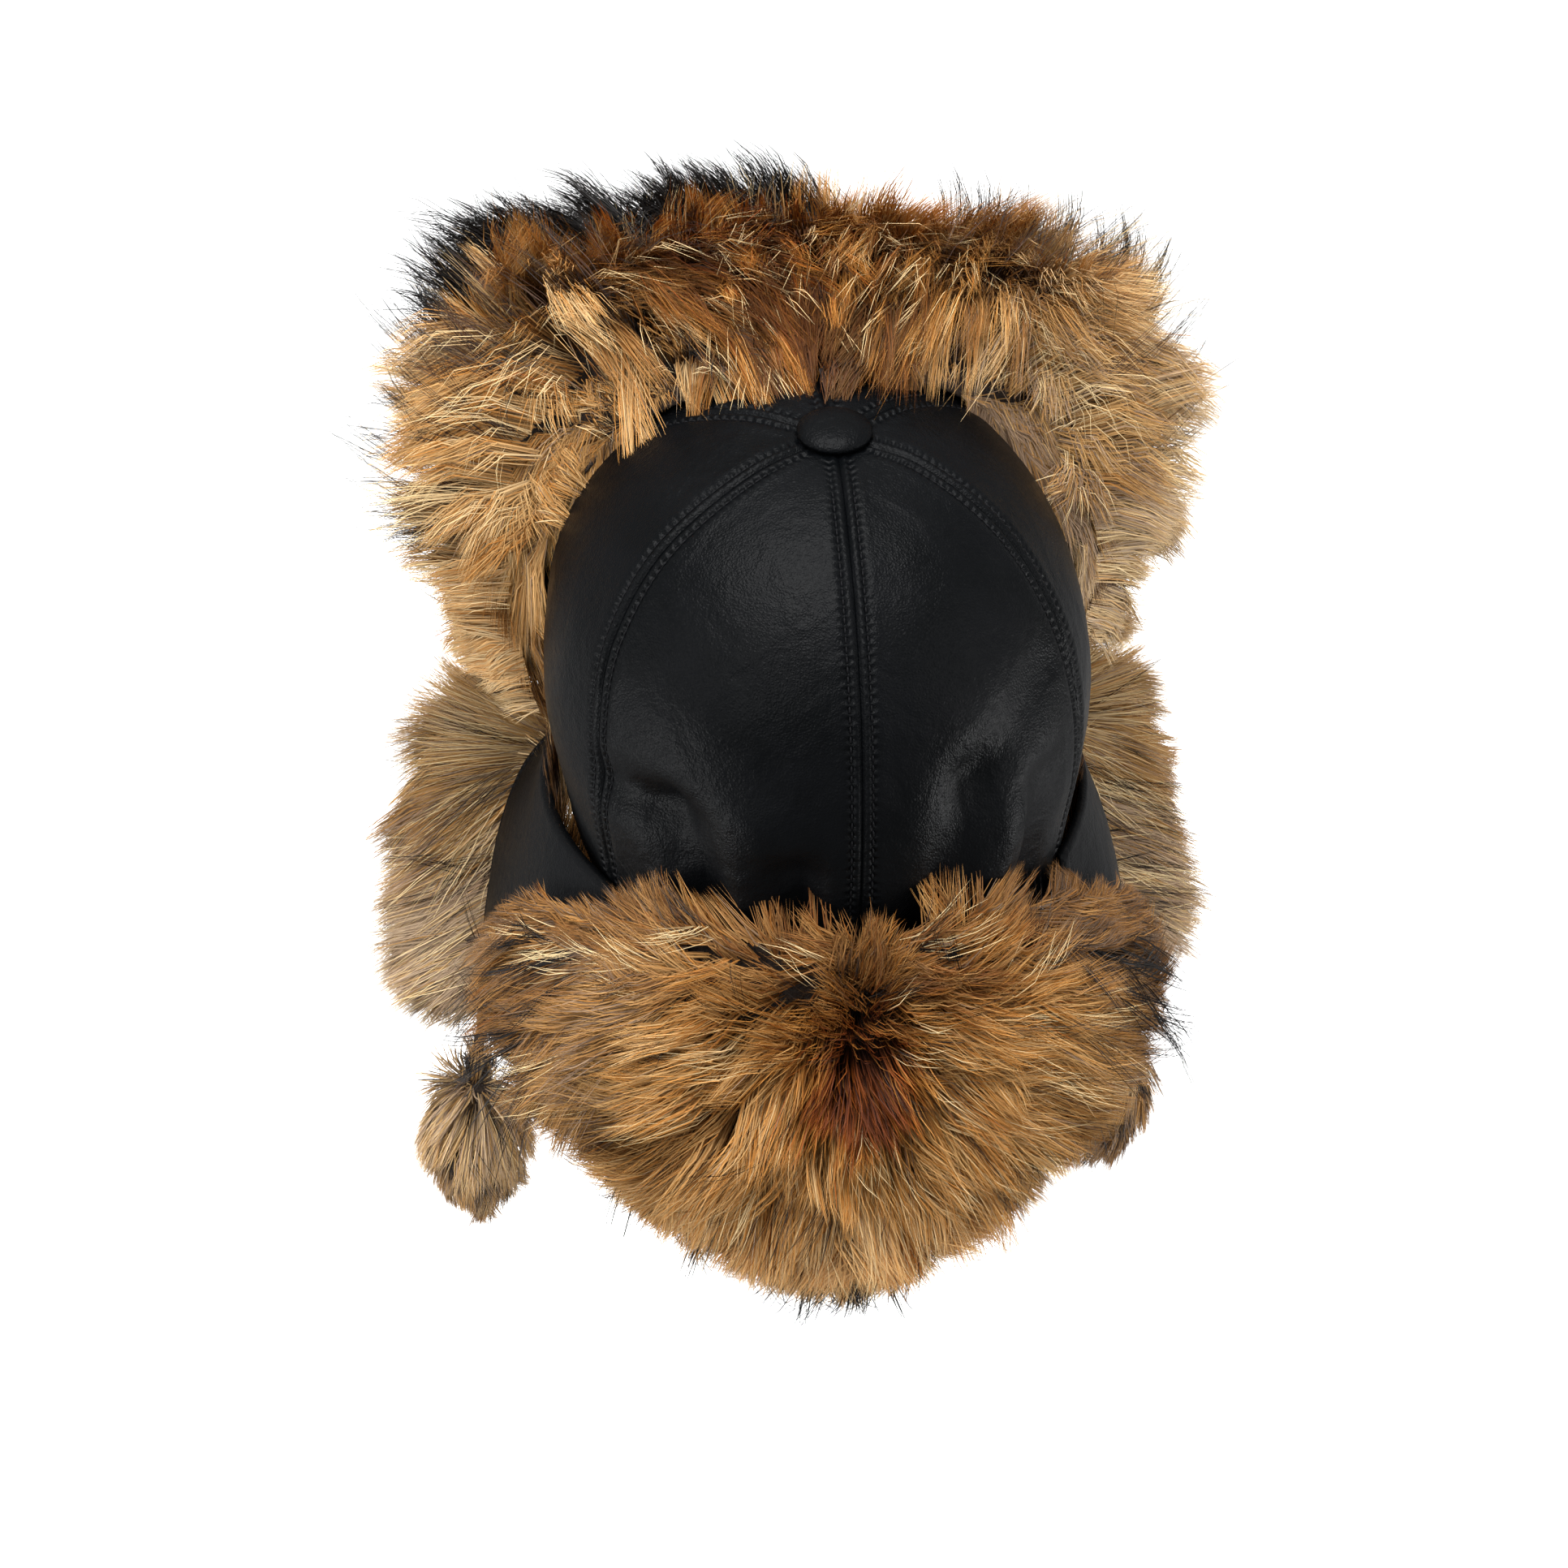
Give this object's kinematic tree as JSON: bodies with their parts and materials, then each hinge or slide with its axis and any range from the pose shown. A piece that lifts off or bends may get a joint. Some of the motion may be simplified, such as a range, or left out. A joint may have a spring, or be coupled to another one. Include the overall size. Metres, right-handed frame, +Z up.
{
  "type": "ushanka",
  "caption": "Black leather winter hat with deep golden brown fur on its turned-up visor, ear flaps and nape flap, and fur tassels on its ties, as worn.",
  "frame": {"origin": "inside of the crown's top, where the hat sits on a head", "axes": "+Z up out of the crown, -Y to the front (visor), +X to the wearer's left"},
  "size_m": [0.3143, 0.3511, 0.4181],
  "materials": {
    "leather": "smooth black nappa with a soft sheen",
    "fur_gold": "deep golden fur with dark guard hairs",
    "fur_grey": "soft grey-brown fur"
  },
  "bodies": {
    "root": {"crown_panel_back_left": "leather", "crown_panel_back_right": "leather", "crown_panel_side_left": "leather", "crown_panel_side_right": "leather", "crown_panel_front_left": "leather", "crown_panel_front_right": "leather", "top_button": "leather", "visor_backing": "leather", "visor_fur": "fur_gold", "nape_backing": "leather", "nape_fur": "fur_gold", "ear_flap_left": "leather", "ear_fur_left": "fur_grey", "tie_left": "leather", "pompom_left": "fur_grey", "ear_flap_right": "leather", "ear_fur_right": "fur_grey", "tie_right": "leather", "pompom_right": "fur_grey"}
  },
  "joints": []
}
